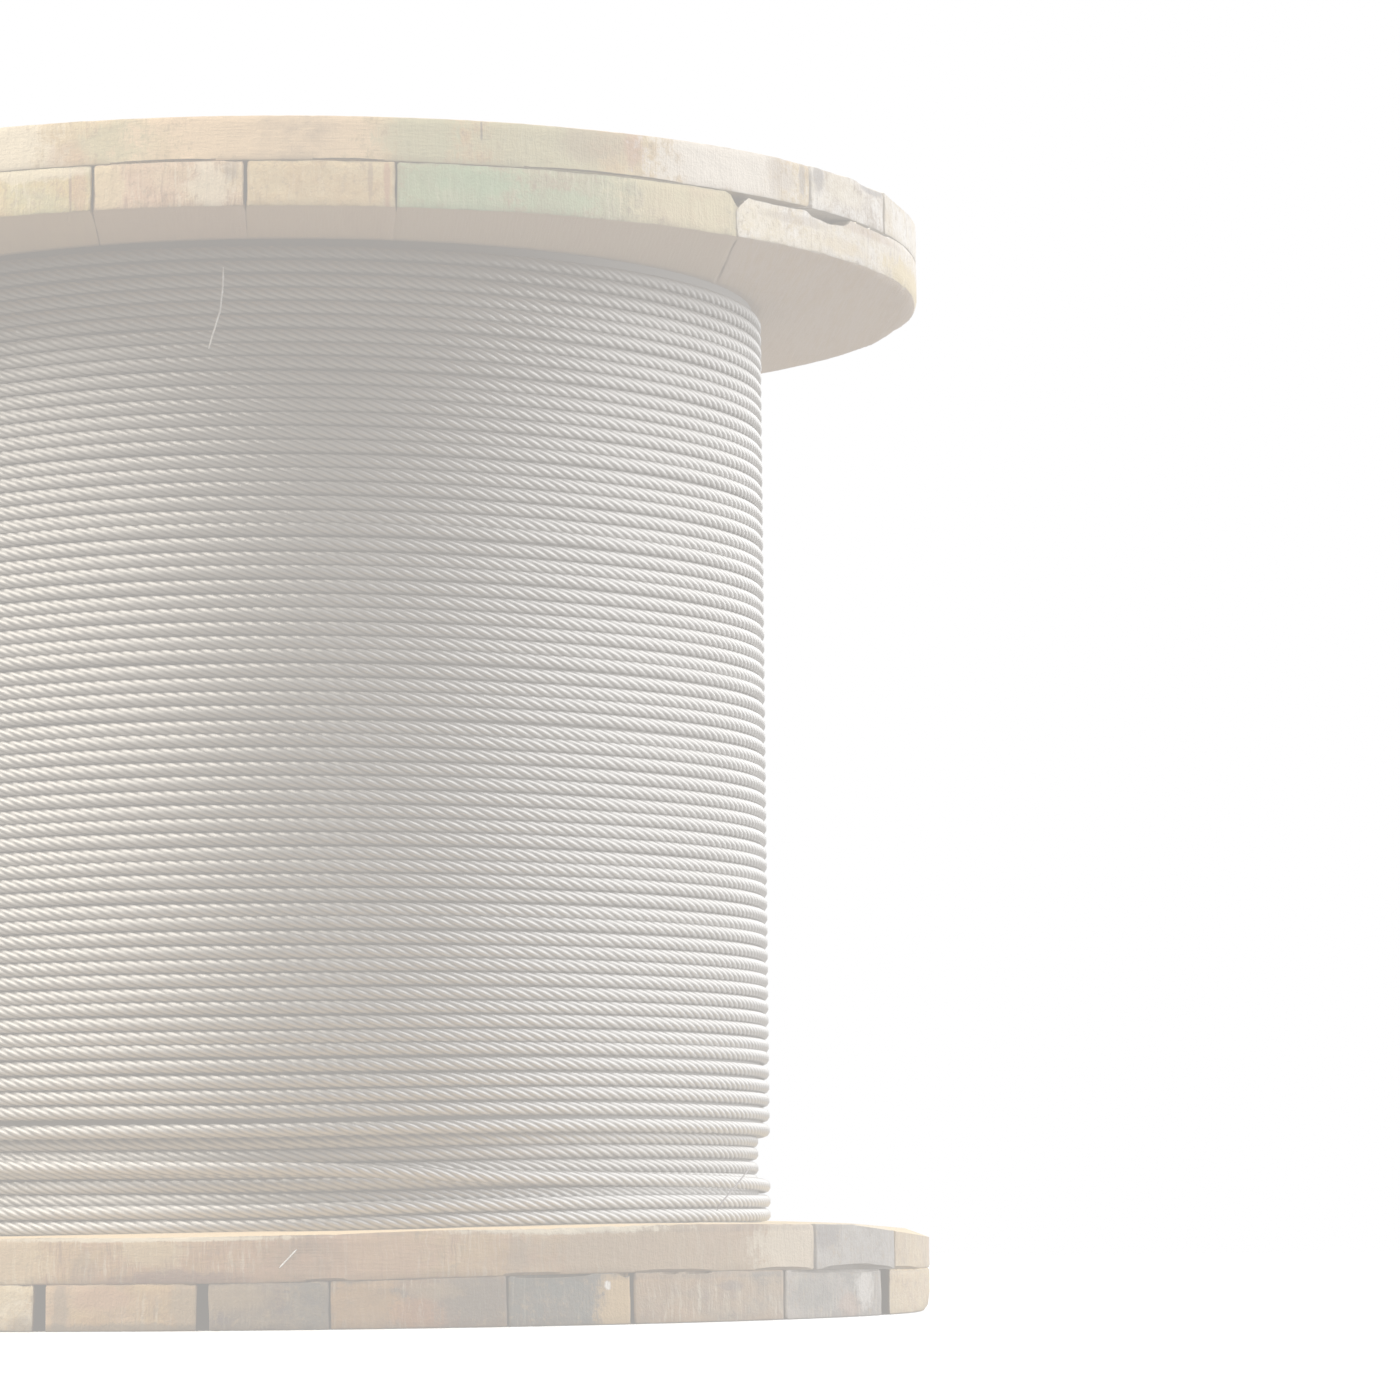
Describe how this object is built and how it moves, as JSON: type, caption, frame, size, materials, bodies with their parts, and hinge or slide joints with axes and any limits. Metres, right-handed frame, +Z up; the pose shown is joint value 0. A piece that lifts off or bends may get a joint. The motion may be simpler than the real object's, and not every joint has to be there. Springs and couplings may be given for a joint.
{
  "type": "reel of wire rope",
  "caption": "Timber reel wound full of twisted steel wire rope, standing upright on its lower flange.",
  "frame": {"origin": "centre of the lower flange's underside, on the floor", "axes": "+Z up along the reel's axis; -Y is the side that the picture shows"},
  "size_m": [0.914, 0.914, 0.7976],
  "materials": {
    "flange_planks": "sawn, weathered softwood",
    "barrel_staves": "sawn softwood",
    "wire_rope": "bright stranded wire, lightly oiled",
    "tie_bolts": "zinc plated, dull"
  },
  "bodies": {
    "root": {"barrel_stave_1": "barrel_staves", "barrel_stave_10": "barrel_staves", "barrel_stave_11": "barrel_staves", "barrel_stave_12": "barrel_staves", "barrel_stave_2": "barrel_staves", "barrel_stave_3": "barrel_staves", "barrel_stave_4": "barrel_staves", "barrel_stave_5": "barrel_staves", "barrel_stave_6": "barrel_staves", "barrel_stave_7": "barrel_staves", "barrel_stave_8": "barrel_staves", "barrel_stave_9": "barrel_staves", "bolt_nut_1": "tie_bolts", "bolt_nut_2": "tie_bolts", "bolt_nut_3": "tie_bolts", "bolt_nut_4": "tie_bolts", "lower_inner_plank_1": "flange_planks", "lower_inner_plank_2": "flange_planks", "lower_inner_plank_3": "flange_planks", "lower_inner_plank_4": "flange_planks", "lower_inner_plank_5": "flange_planks", "lower_inner_plank_6": "flange_planks", "lower_inner_plank_7": "flange_planks", "lower_outer_plank_1": "flange_planks", "lower_outer_plank_2": "flange_planks", "lower_outer_plank_3": "flange_planks", "lower_outer_plank_4": "flange_planks", "lower_outer_plank_5": "flange_planks", "lower_outer_plank_6": "flange_planks", "lower_outer_plank_7": "flange_planks", "lower_outer_plank_8": "flange_planks", "lower_outer_plank_9": "flange_planks", "lower_washer_1": "tie_bolts", "lower_washer_2": "tie_bolts", "lower_washer_3": "tie_bolts", "lower_washer_4": "tie_bolts", "rope_winding": "wire_rope", "tie_bolt_1": "tie_bolts", "tie_bolt_2": "tie_bolts", "tie_bolt_3": "tie_bolts", "tie_bolt_4": "tie_bolts", "upper_inner_plank_1": "flange_planks", "upper_inner_plank_2": "flange_planks", "upper_inner_plank_3": "flange_planks", "upper_inner_plank_4": "flange_planks", "upper_inner_plank_5": "flange_planks", "upper_inner_plank_6": "flange_planks", "upper_inner_plank_7": "flange_planks", "upper_outer_plank_1": "flange_planks", "upper_outer_plank_2": "flange_planks", "upper_outer_plank_3": "flange_planks", "upper_outer_plank_4": "flange_planks", "upper_outer_plank_5": "flange_planks", "upper_outer_plank_6": "flange_planks", "upper_outer_plank_7": "flange_planks", "upper_washer_1": "tie_bolts", "upper_washer_2": "tie_bolts", "upper_washer_3": "tie_bolts", "upper_washer_4": "tie_bolts"}
  },
  "joints": []
}
